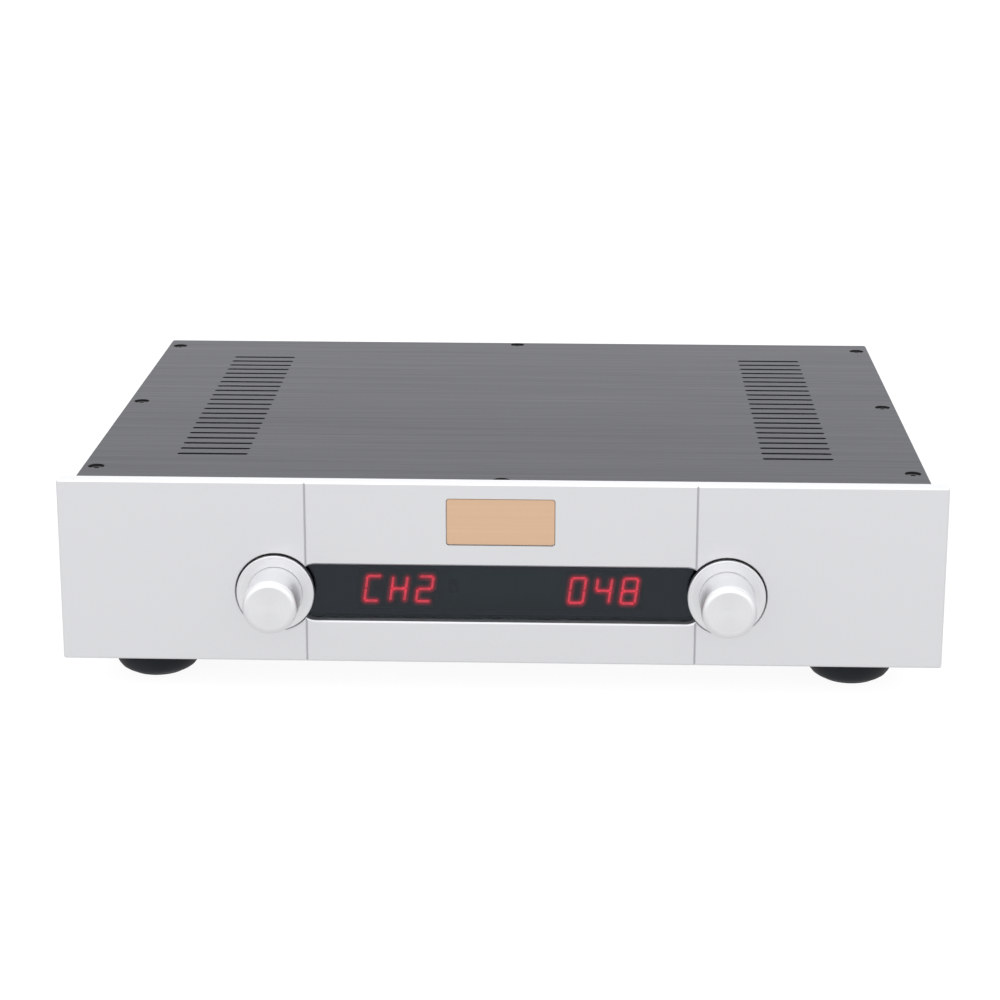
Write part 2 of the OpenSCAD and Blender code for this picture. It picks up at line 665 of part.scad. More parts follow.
// A wire along a line of points, rounded at each corner by a bend that starts the given length before it.
function unit(v) = v / norm(v);
function bend_points(a, b, c, cut) = let (p = b + unit(a - b) * cut, q = b + unit(c - b) * cut)
    [for (t = [0:0.25:1]) p * (1 - t) ^ 2 + 2 * b * t * (1 - t) + q * t ^ 2];

module wire(p, r, cut = 6) {
    last = len(p) - 1;
    path = [p[0], for (i = [1:last - 1]) each bend_points(p[i - 1], p[i], p[i + 1], cut), p[last]];
    n = len(path) - 1;
    sides = 8;
    rings = [for (i = [0:n]) let (
        u = unit(path[min(i + 1, n)] - path[max(i - 1, 0)]), v = unit(cross(u, [1, -2, 3])),
            w = cross(u, v))
        for (k = [0:sides - 1]) path[i] + r * (v * cos(360 * k / sides) + w * sin(360 * k / sides))];
    walls = [for (i = [0:n - 1], k = [0:sides - 1]) let (a = i * sides + k, b = i * sides + (k + 1) % sides)
        each [[a, b + sides, b], [a, a + sides, b + sides]]];
    ends = [[for (k = [0:sides - 1]) k], [for (k = [sides - 1:-1:0]) n * sides + k]];
    polyhedron(rings, concat(walls, ends));
}

// Mains leads from the inlet to the transformer, its secondary to the supply, and a pair of speaker leads
// a side. The transformer's leads meet its winding square on, at these heights.
wire_z = floor_z + 4;
primary_z = 44;
secondary_z = 50;
function beside_torus(x, r) = [x, torus_y + sqrt(r ^ 2 - x ^ 2)];
function on_torus(x, r) = let (k = torus_r[1] / r) [x * k, torus_y + sqrt(r ^ 2 - x ^ 2) * k];

module internal_wiring() in_case() color("firebrick") {
    for (k = [0, 1]) {
        x = inlet_x + 14 * k - 7;
        y = rear_in_y - 40 - 6 * k;
        a = beside_torus(4 * k - 58, 70);
        b = on_torus(4 * k - 58, 70);
        wire([[x, rear_y - inlet_deep - 8, inlet_z - 18], [x, y, inlet_z - 18], [x, y, wire_z + 3 * k],
              [a.x, y, wire_z + 3 * k], [a.x, a.y, wire_z + 3 * k], [a.x, a.y, primary_z],
              [b.x, b.y, primary_z]], 1.4, 5);
        c = beside_torus(40 - 8 * k, 66);
        d = on_torus(40 - 8 * k, 66);
        wire([[d.x, d.y, secondary_z], [c.x, c.y, secondary_z], [c.x, torus_y + 66, secondary_z],
              [c.x, torus_y + 66, board_z - 4], [c.x, psu_y[0] + 8, board_z - 4],
              [c.x, psu_y[0] + 8, board_z]], 1.4, 3);
    }
    for (i = [0:3]) {
        run_x = [-68, -76, 104, 96][i];
        run_z = roof_z - 8 - 4 * i;
        wire([[post_x[i], rear_y - 18, post_z], [post_x[i], rear_y - 26, post_z],
            [post_x[i], rear_y - 26, run_z],
              [run_x, amp_y[1] - 6, run_z], [run_x, amp_y[1] - 6, board_z + board_t]], 1.4, 4);
    }
}

// ---- Rear ----

socket_outline = [[-socket_w / 2, -socket_h / 2], [socket_w / 2, -socket_h / 2],
    [socket_w / 2, socket_h / 2 - 4.5],
    [socket_w / 2 - 4.5, socket_h / 2], [4.5 - socket_w / 2, socket_h / 2],
        [-socket_w / 2, socket_h / 2 - 4.5]];
mouth_y = rear_y + inlet_flange;

module at_inlet(up) in_case() translate([inlet_x, 0, inlet_z + up]) children();

module mains_inlet() color([0.1, 0.1, 0.1]) at_inlet(0) difference() {
    union() {
        translate([0, rear_y, 0]) to_rear() plate(inlet_w, inlet_h, inlet_flange, 2, 0.6);
        translate([0, rear_y, 0]) to_rear() linear_extrude(inlet_flange - 0.6) rounded_rect(49, 14, 6);
        translate([-inlet_w / 2 + 1.5, rear_in_y - inlet_deep + sheet_t, -inlet_h / 2 + 2])
            cube([inlet_w - 3, inlet_deep + eps, inlet_h - 4]);
    }
    translate([0, mouth_y - socket_deep, socket_up]) rotate([90, 0, 0]) mirror([0, 0, 1])
        linear_extrude(socket_deep + 1)
        polygon(socket_outline);
    translate([-drawer_w / 2 - 0.15, mouth_y - drawer_deep - 0.3, drawer_up - drawer_h / 2 - 0.15])
        cube([drawer_w + 0.3, drawer_deep + 2, drawer_h + 0.3]);
    translate([-rocker_w / 2 - 1.3, rocker_pivot_y - 7, rocker_up - rocker_h / 2 - 0.2])
        cube([rocker_w + 2.6, 12, rocker_h + 0.4]);
    translate([0, rocker_pivot_y, rocker_up - rocker_h / 2 - 1.2]) cylinder(r = 1.25, h = rocker_h + 2.4);
    for (p = pin_places) translate([p.x - p[2] / 2 - 0.02, 0, socket_up + p.y - p[3] / 2 - 0.02])
        cube([p[2] + 0.04, mouth_y - socket_deep + 1, p[3] + 0.04]);
    for (side = [-1, 1]) translate([side * 20, rear_y - 1, 0]) to_rear()
        cylinder(r = 1.8, h = inlet_flange + 2);
}

// Middle, width and height of each mains pin: line, neutral and earth.
pin_places = [[-7, -2, 2, 4], [7, -2, 2, 4], [0, 2.5, 2, 4]];

module mains_pins() color("silver") at_inlet(socket_up) for (p = pin_places)
    translate([p.x - p[2] / 2, rear_y - inlet_deep - 8, p.y - p[3] / 2])
        cube([p[2], mouth_y - socket_deep + pin_len - rear_y + inlet_deep + 8, p[3]]);

module fuse_drawer() color([0.1, 0.1, 0.1]) at_inlet(drawer_up) difference() {
    union() {
        translate([-drawer_w / 2, mouth_y - drawer_deep, -drawer_h / 2])
            cube([drawer_w, drawer_deep, drawer_h]);
        translate([-5, mouth_y - eps, drawer_h / 2 - 2]) cube([10, 1.2, 2]);
    }
    translate([-10.1, mouth_y - 9, -0.4]) rotate([0, 90, 0]) cylinder(r = 2.7, h = 20.2);
    translate([-10.1, mouth_y - 11.7, -0.4]) cube([20.2, 5.4, drawer_h]);
}

module fuse() color("lightcyan") at_inlet(drawer_up) translate([-10, mouth_y - 9, -0.4]) rotate([0, 90, 0])
    cylinder(r = 2.6, h = 20);

rocker_outline = [[-rocker_w / 2, 4.4], [0, 2.6], [rocker_w / 2, 4.4], [rocker_w / 2, 1], [7, -2.5],
    [-7, -2.5], [-rocker_w / 2, 1]];

module power_rocker() color("black") at_inlet(rocker_up) translate([0, rocker_pivot_y, 0])
    rotate([0, 0, -rocker_tilt]) {
        translate([0, 0, -rocker_h / 2]) linear_extrude(rocker_h) polygon(rocker_outline);
        translate([0, 0, -rocker_h / 2 - 0.9]) cylinder(r = 1.2, h = rocker_h + 1.8);
    }

module at_post(i) in_case() translate([post_x[i], rear_y, post_z]) to_rear() children();

// A speaker terminal, drawn along +z from the rear panel's face: stud, insulating base, inner washer and
// nut.
module speaker_posts() color("gold") for (i = [0:3]) at_post(i) {
    difference() {
        translate([0, 0, -18]) cylinder(r = stud_r, h = post_out + 17.4);
        translate([0, 0, post_out - 0.6 - banana_deep]) cylinder(r = banana_r, h = banana_deep + 1);
    }
    difference() {
        union() {
            cylinder(r = 8, h = base_t);
            translate([0, 0, -sheet_t]) cylinder(r = 4.5, h = sheet_t + 1);
        }
        translate([0, 0, -sheet_t - 1]) cylinder(r = stud_r + 0.01, h = base_t + sheet_t + 2);
    }
    translate([0, 0, -sheet_t - 3]) difference() {
        cylinder(r = 7.5, h = 3);
        translate([0, 0, -1]) cylinder(r = stud_r + 0.01, h = 5);
    }
    translate([0, 0, -sheet_t - 7]) difference() {
        cylinder(d = 10 / cos(30), h = 4, $fn = 6);
        translate([0, 0, -1]) cylinder(r = stud_r + 0.01, h = 6);
    }
}

// The ring slides along the stud, under the cap that screws it down.
module clamp_ring(i) color("gold") at_post(i) translate([0, 0, base_t + face_gap]) difference() {
    cylinder(r = 7.4, h = ring_t);
    translate([0, 0, -1]) cylinder(r = stud_r + 0.06, h = ring_t + 2);
}

cap_z = base_t + ring_t + 2 * face_gap;

module terminal_cap(i, paint) color(paint) at_post(i) translate([0, 0, cap_z]) difference() {
    union() {
        cylinder(r = cap_r, h = post_out - cap_z - 1);
        translate([0, 0, post_out - cap_z - 1]) cylinder(r1 = cap_r, r2 = cap_r - 1, h = 1);
    }
    translate([0, 0, -1]) cylinder(r = stud_r + 0.06, h = post_out);
    for (a = [0:30:330]) rotate(a) translate([cap_r + 0.5, 0, 1.5]) cylinder(r = 1.1, h = post_out);
}

module left_positive_cap() terminal_cap(0, "crimson");
module left_negative_cap() terminal_cap(1, "black");
module right_positive_cap() terminal_cap(2, "crimson");
module right_negative_cap() terminal_cap(3, "black");
module left_positive_ring() clamp_ring(0);
module left_negative_ring() clamp_ring(1);
module right_positive_ring() clamp_ring(2);
module right_negative_ring() clamp_ring(3);

module rca_socket() {
    difference() {
        union() {
            cylinder(r = 6.5, h = 2);
            cylinder(r = rca_r, h = rca_out);
            translate([0, 0, -sheet_t - 14.4]) cylinder(r = rca_r, h = sheet_t + 15);
        }
        translate([0, 0, rca_out - 10.5]) cylinder(r = 3.5, h = 11);
    }
    difference() {
        translate([0, 0, rca_out - 10.5]) cylinder(r = 3.45, h = 10);
        translate([0, 0, rca_out - 9.5]) cylinder(r = rca_pin_r, h = 10);
    }
}

module rca_sockets() color("gold") in_case() for (x = rca_x, z = rca_z)
    translate([x, rear_y, z]) to_rear() rca_socket();

// ---- Nodes ----

front_panel();
nameplate();
display_window();
display_bezel();
input_knob();
volume_knob();
input_encoder_shaft();
volume_encoder_shaft();
input_encoder_rotor();
volume_encoder_rotor();
encoder_housings();
front_fasteners();
front_subpanel();
display_board();
channel_led_module();
volume_led_module();
lit_segments();
ir_receiver();
left_side_panel();
right_side_panel();
rear_panel();
bottom_plate();
top_cover();
cover_screws();
chassis_screws();
foot_screws();
foot_front_left();
foot_front_right();
foot_rear_left();
foot_rear_right();
transformer();
transformer_clamp();
transformer_bolt();
power_supply_board();
filter_capacitors();
bridge_rectifier();
board_standoffs();
left_heatsink();
right_heatsink();
amplifier_boards();
output_transistors();
input_board();
relays();
internal_wiring();
ribbon_cable();
mains_inlet();
mains_pins();
fuse_drawer();
fuse();
power_rocker();
left_positive_cap();
left_negative_cap();
right_positive_cap();
right_negative_cap();
left_positive_ring();
left_negative_ring();
right_positive_ring();
right_negative_ring();
speaker_posts();
rca_sockets();
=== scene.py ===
"""Finishes, light and camera for the amplifier, in metres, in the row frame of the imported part."""
import json
import math

import bpy
from mathutils import Matrix, Vector
from mathutils.geometry import convex_hull_2d


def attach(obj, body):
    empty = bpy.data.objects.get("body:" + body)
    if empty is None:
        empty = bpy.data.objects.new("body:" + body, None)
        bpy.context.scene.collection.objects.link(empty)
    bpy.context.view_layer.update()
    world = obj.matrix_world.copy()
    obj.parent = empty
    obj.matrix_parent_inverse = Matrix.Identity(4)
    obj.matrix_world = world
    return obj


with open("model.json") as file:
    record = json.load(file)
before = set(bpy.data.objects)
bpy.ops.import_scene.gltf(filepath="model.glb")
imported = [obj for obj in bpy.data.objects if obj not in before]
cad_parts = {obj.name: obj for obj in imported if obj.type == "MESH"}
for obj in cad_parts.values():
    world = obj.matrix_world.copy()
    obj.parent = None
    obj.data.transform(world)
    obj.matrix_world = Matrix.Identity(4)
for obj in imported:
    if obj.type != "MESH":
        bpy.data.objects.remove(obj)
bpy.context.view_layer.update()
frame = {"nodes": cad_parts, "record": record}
nodes = frame["nodes"]

# Places that the finishes depend on
MM = 0.001
PANEL_FACE = -162.25 * MM
REAR_FACE = PANEL_FACE + 323 * MM
PANEL_LOW = 15.5 * MM
COVER_TOP = PANEL_LOW + 89.5 * MM
SEGMENT_FACE = PANEL_FACE + 8.3 * MM
TRANSFORMER_Y = PANEL_FACE + 106 * MM
# Knobs: middle, and the radius, rounding and front of the grip
KNOB_X = 109.7 * MM
KNOB_Z = PANEL_LOW + 35.4 * MM
KNOBS = {"input_knob": -KNOB_X, "volume_knob": KNOB_X}
GRIP_R = 13.3 * MM
GRIP_ROUND = 3 * MM
GRIP_FRONT = PANEL_FACE - 26.5 * MM
# Speaker posts, phono sockets and the cover's countersunk screws
POST_X = [-36 * MM, -55.05 * MM, -96 * MM, -115.05 * MM]
POST_Z = PANEL_LOW + 45 * MM
RCA_X = [66 * MM, 92 * MM, 118 * MM, 144 * MM]
RCA_Z = [PANEL_LOW + 30 * MM, PANEL_LOW + 60 * MM]
SCREWS = [(x * MM, PANEL_FACE + y * MM) for x in (-201.1, 201.1) for y in (32.1, 167.9, 307.2)]
SCREWS += [(0, PANEL_FACE + 13 * MM), (0, PANEL_FACE + 318 * MM)]


class Finish:
    """A material and its node tree. Its textures are placed by the object's own coordinates."""

    def __init__(self, name, colour, rough, metal=0.0, **sockets):
        self.name = name
        self.material = bpy.data.materials.new(name)
        self.material.use_nodes = True
        self.tree = self.material.node_tree
        self.shader = self.tree.nodes["Principled BSDF"]
        self.colour = colour
        self.rough = rough
        self.shader.inputs["Base Color"].default_value = (*colour, 1)
        self.shader.inputs["Roughness"].default_value = rough
        self.shader.inputs["Metallic"].default_value = metal
        for socket, value in sockets.items():
            self.shader.inputs[socket.replace("_", " ")].default_value = value
        self.place = self.node("ShaderNodeTexCoord").outputs["Object"]

    def node(self, kind, **settings):
        made = self.tree.nodes.new(kind)
        for key, value in settings.items():
            setattr(made, key, value)
        return made

    def feed(self, socket, value):
        if isinstance(value, bpy.types.NodeSocket):
            self.tree.links.new(value, socket)
        else:
            socket.default_value = value

    def math(self, operation, *values):
        made = self.node("ShaderNodeMath", operation=operation)
        for socket, value in zip(made.inputs, values):
            self.feed(socket, value)
        return made.outputs[0]

    def stretched(self, scale):
        made = self.node("ShaderNodeMapping")
        self.feed(made.inputs["Vector"], self.place)
        made.inputs["Scale"].default_value = scale
        return made.outputs[0]

    def noise(self, scale, detail, rough=0.5):
        """Noise whose cells are about 1/scale metres across. scale is one number or one per axis."""
        made = self.node("ShaderNodeTexNoise")
        place = self.place
        if isinstance(scale, tuple):
            place, scale = self.stretched(scale), 1.0
        self.feed(made.inputs["Vector"], place)
        made.inputs["Scale"].default_value = scale
        made.inputs["Detail"].default_value = detail
        made.inputs["Roughness"].default_value = rough
        return made.outputs[0]

    def spread(self, value, low, high, start=0.3, end=0.7):
        made = self.node("ShaderNodeMapRange")
        for key, number in (("From Min", start), ("From Max", end), ("To Min", low), ("To Max", high)):
            made.inputs[key].default_value = number
        self.feed(made.inputs["Value"], value)
        return made.outputs[0]

    def vary_colour(self, factor, other):
        """The base colour goes from its own to other as factor goes from 0 to 1."""
        made = self.node("ShaderNodeMix", data_type="RGBA")
        self.feed(made.inputs["Factor"], factor)
        self.feed(made.inputs["A"], (*self.colour, 1))
        self.feed(made.inputs["B"], (*other, 1))
        self.feed(self.shader.inputs["Base Color"], made.outputs["Result"])

    def vary_rough(self, factor, amount):
        varied = self.spread(factor, self.rough - amount, self.rough + amount)
        self.feed(self.shader.inputs["Roughness"], varied)

    def bump(self, height, depth, strength=1.0):
        """height from 0 to 1 stands out by depth metres. A second call adds to the first."""
        made = self.node("ShaderNodeBump")
        made.inputs["Strength"].default_value = strength
        made.inputs["Distance"].default_value = depth
        self.feed(made.inputs["Height"], height)
        old = self.shader.inputs["Normal"].links
        if old:
            self.feed(made.inputs["Normal"], old[0].from_socket)
        self.feed(self.shader.inputs["Normal"], made.outputs[0])

    def parts(self):
        made = self.node("ShaderNodeSeparateXYZ")
        self.feed(made.inputs[0], self.place)
        return made.outputs

    def distance(self, x, z):
        """The distance from a line along Y through (x, z)."""
        at = self.parts()
        dx = self.math("SUBTRACT", at[0], x)
        dz = self.math("SUBTRACT", at[2], z)
        squares = self.math("ADD", self.math("MULTIPLY", dx, dx), self.math("MULTIPLY", dz, dz))
        return self.math("SQRT", squares)


def tint(colour, k):
    return tuple(min(1.0, c * k) for c in colour)


# ---- Finishes ----

def blasted(name, colour, rough):
    """Bead-blasted and anodised: very fine even grain, with a slow drift in tone."""
    f = Finish(name, colour, rough, 1.0)
    drift = f.noise(9, 3)
    fine = f.noise(2600, 2)
    f.vary_colour(f.math("MULTIPLY", f.math("ADD", drift, fine), 0.5), tint(colour, 0.955))
    f.vary_rough(fine, 0.05)
    f.bump(fine, 0.012 * MM, 0.6)
    f.bump(f.noise(600, 2), 0.01 * MM, 0.5)
    return f


def brushed(name, colour, rough, scale, contrast, depth=0.02, metal=1.0, **sockets):
    """Long fine scratches, stretched along the axis where scale is small."""
    f = Finish(name, colour, rough, metal, **sockets)
    lines = f.noise(scale, 4, rough=0.7)
    wide = f.noise(tuple(s * 0.17 for s in scale), 3)
    both = f.math("ADD", f.math("MULTIPLY", lines, 0.6), f.math("MULTIPLY", wide, 0.4))
    f.vary_colour(f.spread(both, 0, 1, 0.32, 0.68), tint(colour, contrast))
    f.vary_rough(lines, 0.07)
    f.bump(lines, depth * MM, 0.8)
    return f


def turned(name, colour, rough, x, z):
    """Turned on a lathe: fine rings around a line along Y, and light spreads across them in a bow tie."""
    f = Finish(name, colour, rough, 1.0, Anisotropic=0.3)
    made = f.node("ShaderNodeTexNoise", noise_dimensions="1D")
    f.feed(made.inputs["W"], f.distance(x, z))
    made.inputs["Scale"].default_value = 2400
    made.inputs["Detail"].default_value = 3
    rings = made.outputs[0]
    f.vary_colour(f.spread(rings, 0, 1), tint(colour, 0.93))
    f.vary_rough(rings, 0.05)
    f.bump(rings, 0.008 * MM, 0.6)
    f.bump(f.noise(1500, 2), 0.006 * MM, 0.4)
    at = f.parts()
    around = f.node("ShaderNodeCombineXYZ")
    f.feed(around.inputs[0], f.math("SUBTRACT", z, at[2]))
    f.feed(around.inputs[2], f.math("SUBTRACT", at[0], x))
    turn = f.node("ShaderNodeVectorTransform", vector_type="VECTOR",
                  convert_from="OBJECT", convert_to="WORLD")
    f.feed(turn.inputs[0], around.outputs[0])
    f.feed(f.shader.inputs["Tangent"], turn.outputs[0])
    return f


def moulded(name, colour, rough, grain=1800, depth=0.02, contrast=1.25, **sockets):
    """Moulded plastic or rubber: fine spark-eroded grain, with a little scuffing."""
    f = Finish(name, colour, rough, 0.0, **sockets)
    grains = f.noise(grain, 2)
    scuff = f.noise(60, 4)
    scuffed = tuple(min(1, c * contrast + 0.004) for c in colour)
    f.vary_colour(f.spread(scuff, 0, 1, 0.45, 0.75), scuffed)
    f.vary_rough(scuff, 0.08)
    f.bump(grains, depth * MM, 0.6)
    return f


def powder_coat(name, colour):
    """Powder coat on sheet steel: orange peel, and a faint sparkle of lighter grains."""
    f = Finish(name, colour, 0.5, 0.0, Coat_Weight=0.12, Coat_Roughness=0.35)
    peel = f.noise(900, 3)
    f.vary_colour(f.spread(f.noise(2600, 1), 0, 1, 0.5, 0.72), tint(colour, 1.5))
    f.vary_rough(f.noise(40, 3), 0.06)
    f.bump(peel, 0.03 * MM, 0.6)
    return f


def plated(name, colour, rough):
    """Plated or zinc-coated metal with faint blotches and fine scratches."""
    f = Finish(name, colour, rough, 1.0)
    blotch = f.noise(220, 4)
    f.vary_colour(f.spread(blotch, 0, 1), tint(colour, 0.86))
    f.vary_rough(blotch, 0.07)
    f.bump(f.noise((400, 3500, 3500), 2), 0.01 * MM, 0.5)
    return f


def board(name, colour):
    """A lacquered circuit board: copper tracks show through as lighter bands."""
    f = Finish(name, colour, 0.35, 0.0, Coat_Weight=0.3, Coat_Roughness=0.15)
    tracks = f.node("ShaderNodeTexBrick")
    f.feed(tracks.inputs["Vector"], f.place)
    tracks.inputs["Scale"].default_value = 240
    tracks.inputs["Mortar Size"].default_value = 0.06
    f.vary_colour(f.math("MULTIPLY", tracks.outputs["Fac"], 0.8), tint(colour, 2.2))
    f.vary_rough(f.noise(90, 3), 0.06)
    f.bump(tracks.outputs["Fac"], 0.035 * MM, 0.8)
    return f


def taped(name, colour):
    """The transformer's tape: overlapping turns that run across the ring."""
    f = Finish(name, colour, 0.3, 0.0, Coat_Weight=0.4)
    at = f.parts()
    angle = f.math("ARCTAN2", at[0], f.math("ADD", at[1], -TRANSFORMER_Y))
    turns = f.math("FRACT", f.math("MULTIPLY", angle, 9.0))
    f.vary_colour(f.math("MULTIPLY", turns, f.noise(40, 3)), (0.42, 0.2, 0.05))
    f.vary_rough(turns, 0.05)
    f.bump(turns, 0.3 * MM, 0.8)
    return f


def lit(name, colour, strength):
    """Segments lit from behind, with the slight mottle of their moulded light guides."""
    f = Finish(name, tint(colour, 0.5), 0.35)
    f.shader.inputs["Emission Color"].default_value = (*colour, 1)
    mottle = f.noise(500, 2)
    f.feed(f.shader.inputs["Emission Strength"], f.spread(mottle, strength * 0.85, strength * 1.15))
    f.vary_colour(mottle, colour)
    f.vary_rough(mottle, 0.05)
    f.bump(mottle, 0.01 * MM, 0.5)
    return f


def smoked(name, colour, rough):
    """Smoked acrylic. Polished, with the faintest waviness."""
    f = Finish(name, colour, rough, 0.0, Transmission_Weight=1.0, IOR=1.41,
               Specular_Tint=(0.8, 0.9, 1, 1))
    slow = f.noise(30, 2)
    f.vary_colour(f.spread(slow, 0, 1), tint(colour, 0.92))
    f.vary_rough(slow, 0.01)
    f.bump(slow, 0.02 * MM, 0.2)
    return f


FINISHES = {
    "front_panel": blasted("aluminium", (0.607, 0.611, 0.627), 0.42),
    "nameplate": brushed("champagne_plate", (0.607, 0.414, 0.28), 0.42, (9, 2200, 2200), 0.93,
                         0.008),
    "display_window": smoked("smoked_window", (0.19, 0.20, 0.245), 0.03),
    "display_bezel": moulded("bezel_black", (0.012, 0.013, 0.015), 0.45),
    "input_knob": turned("input_knob_metal", (0.64, 0.643, 0.657), 0.44, -KNOB_X, KNOB_Z),
    "volume_knob": turned("volume_knob_metal", (0.64, 0.643, 0.657), 0.44, KNOB_X, KNOB_Z),
    "channel_led_module": moulded("led_face", (0.008, 0.007, 0.008), 0.5, 900),
    "lit_segments": lit("lit_red", (1.0, 0.05, 0.075), 2.9),
    "ir_receiver": moulded("ir_plastic", (0.05, 0.045, 0.05), 0.15, 500, 0.005),
    "left_side_panel": brushed("side_aluminium", (0.20, 0.20, 0.21), 0.42, (1500, 7, 1500), 0.85,
                               0.015),
    "rear_panel": powder_coat("chassis_metal", (0.045, 0.046, 0.05)),
    "top_cover": brushed("cover_aluminium", (0.06, 0.061, 0.066), 0.40, (6, 1300, 1300), 0.88,
                         0.012, Specular_Tint=(0.765, 0.77, 0.795, 1)),
    "cover_screws": plated("black_screws", (0.09, 0.09, 0.095), 0.34),
    "foot_front_left": moulded("foot_plastic", (0.006, 0.0072, 0.0098), 0.55, 2200, 0.02,
                               Specular_IOR_Level=0.15),
    "transformer": taped("winding_tape", (0.62, 0.42, 0.06)),
    "transformer_clamp": moulded("rubber_pad", (0.03, 0.03, 0.03), 0.7, 700),
    "input_encoder_shaft": plated("steel", (0.62, 0.62, 0.62), 0.35),
    "input_encoder_rotor": moulded("ivory_plastic", (0.75, 0.72, 0.62), 0.5),
    "encoder_housings": plated("encoder_metal", (0.5, 0.5, 0.5), 0.45),
    "display_board": board("circuit_board", (0.012, 0.075, 0.03)),
    "filter_capacitors": moulded("capacitor_sleeve", (0.01, 0.02, 0.10), 0.3, 500, 0.01),
    "bridge_rectifier": moulded("black_plastic", (0.02, 0.02, 0.021), 0.42, 1600, 0.015),
    "board_standoffs": plated("brass", (0.78, 0.6, 0.28), 0.35),
    "left_heatsink": brushed("heatsink_aluminium", (0.62, 0.62, 0.63), 0.45, (900, 900, 6), 0.85),
    "relays": moulded("relay_plastic", (0.7, 0.7, 0.68), 0.5),
    "internal_wiring": moulded("wire_insulation", (0.45, 0.03, 0.02), 0.45),
    "ribbon_cable": brushed("ribbon_grey", (0.4, 0.4, 0.4), 0.6, (780, 4, 4), 0.6, 0.2, 0.0),
    "mains_pins": plated("nickel", (0.75, 0.74, 0.70), 0.25),
    "fuse": moulded("fuse_glass", (0.75, 0.8, 0.8), 0.1, 300, 0.002, 1.0,
                    Transmission_Weight=0.9),
    "power_rocker": moulded("rocker_plastic", (0.014, 0.014, 0.015), 0.22, 900, 0.004),
    "left_positive_cap": moulded("red_cap", (0.42, 0.012, 0.012), 0.28, 900, 0.006),
    "left_negative_cap": moulded("black_cap", (0.014, 0.014, 0.015), 0.28, 900, 0.006),
    "rca_sockets": plated("gold_plate", (0.90, 0.66, 0.29), 0.24),
}
BY_SLOT = {finish.name: finish for finish in FINISHES.values()}


def paint(name, finish):
    """The whole of a CAD node takes one finish."""
    mesh = nodes[name].data
    mesh.materials.clear()
    mesh.materials.append(finish.material)


def paint_where(name, finish, test):
    """The faces of a CAD node whose middle passes test take another finish."""
    mesh = nodes[name].data
    mesh.materials.append(finish.material)
    index = len(mesh.materials) - 1
    for face in mesh.polygons:
        if test(face.center):
            face.material_index = index


# A node that FINISHES doesn't name shares the finish of its slot in the record
slots = {row["node"]: row["material_slot"] for row in frame["record"]["subparts"]}
for name in nodes:
    paint(name, FINISHES[name] if name in FINISHES else BY_SLOT[slots[name]])

# Parts of a node that are made of something else, and parts painted lighter or darker for light and shade
black = BY_SLOT["black_plastic"]
white_ring = moulded("white_insulator", (0.72, 0.71, 0.68), 0.4)
red_ring = moulded("red_insulator", (0.42, 0.02, 0.018), 0.4)


def off_axis(point, x, z):
    return math.hypot(point.x - x, point.z - z)


def near(point, xs, zs):
    """The distance from the nearest of the lines along Y through xs and zs."""
    return min(off_axis(point, x, z) for x in xs for z in zs)


paint_where("speaker_posts", black, lambda p: p.y > REAR_FACE - 5.2 * MM and
            near(p, POST_X, [POST_Z]) > 3.3 * MM)
for z, ring in zip(RCA_Z, (red_ring, white_ring)):
    paint_where("rca_sockets", ring, lambda p: 4.2 * MM < near(p, RCA_X, [z]) < 7 * MM)
    paint_where("rca_sockets", white_ring, lambda p: near(p, RCA_X, [z]) < 3.42 * MM)
# The grips' sides take a lighter copy of the knob metal: partly their turned finish, partly a painted
# highlight standing in for the overhead light on them
turned_side_and_painted_highlight = blasted("turned_side_and_painted_highlight", (0.80, 0.803, 0.815), 0.42)
for name, x in KNOBS.items():
    paint_where(name, turned_side_and_painted_highlight, lambda p: p.y < PANEL_FACE - 5 * MM and
                GRIP_R - 0.4 * MM < off_axis(p, x, KNOB_Z) < GRIP_R + 0.1 * MM)
# Painted shade: the countersinks around the cover's screws are painted near black and hardly reflect,
# standing in for the shade deep inside them
painted_countersink_shade = moulded("countersink_painted_shade", (0.004, 0.004, 0.0045), 0.7, 900, 0.01, 1.1,
                      Specular_IOR_Level=0.08)
paint_where("top_cover", painted_countersink_shade, lambda p: p.z < COVER_TOP - 0.1 * MM and
            min(math.hypot(p.x - x, p.y - y) for x, y in SCREWS) < 4.3 * MM)


def soften(name, most=25):
    """Shades smoothly across the borders of faces that meet at less than most degrees."""
    mesh = nodes[name].data
    least = math.cos(math.radians(most))
    normals = [Vector(n.vector) for n in mesh.corner_normals]
    here = {}
    for corner in mesh.loops:
        place = mesh.vertices[corner.vertex_index].co
        here.setdefault(tuple(round(v * 1e6) for v in place), []).append(corner.index)
    smooth = list(normals)
    for corners in here.values():
        kinds = []
        for i in corners:
            if all(normals[i].dot(k) < 0.9999 for k in kinds):
                kinds.append(normals[i])
        for i in corners:
            smooth[i] = sum((k for k in kinds if k.dot(normals[i]) > least), Vector()).normalized()
    mesh.normals_split_custom_set(smooth)


def round_grip(name, x):
    """Shades a knob's grip and its rounding as the true curve, however they are cut into faces."""
    mesh = nodes[name].data
    normals = [Vector(n.vector) for n in mesh.corner_normals]
    for corner in mesh.loops:
        place = mesh.vertices[corner.vertex_index].co
        out = Vector((place.x - x, 0, place.z - KNOB_Z))
        past = out.length - (GRIP_R - GRIP_ROUND)
        if -0.01 * MM < past < GRIP_ROUND + 0.02 * MM and place.y < PANEL_FACE:
            lean = math.atan2(max(GRIP_FRONT + GRIP_ROUND - place.y, 0), max(past, 0))
            true = out.normalized() * math.cos(lean) - Vector((0, math.sin(lean), 0))
            if normals[corner.index].dot(true) > 0.85:
                normals[corner.index] = true
    mesh.normals_split_custom_set(normals)


for name in nodes:
    if name in KNOBS or name.startswith("foot_front_") or name.startswith("foot_rear_"):
        soften(name)
for name, x in KNOBS.items():
    round_grip(name, x)


# ---- Glow around the lit segments ----

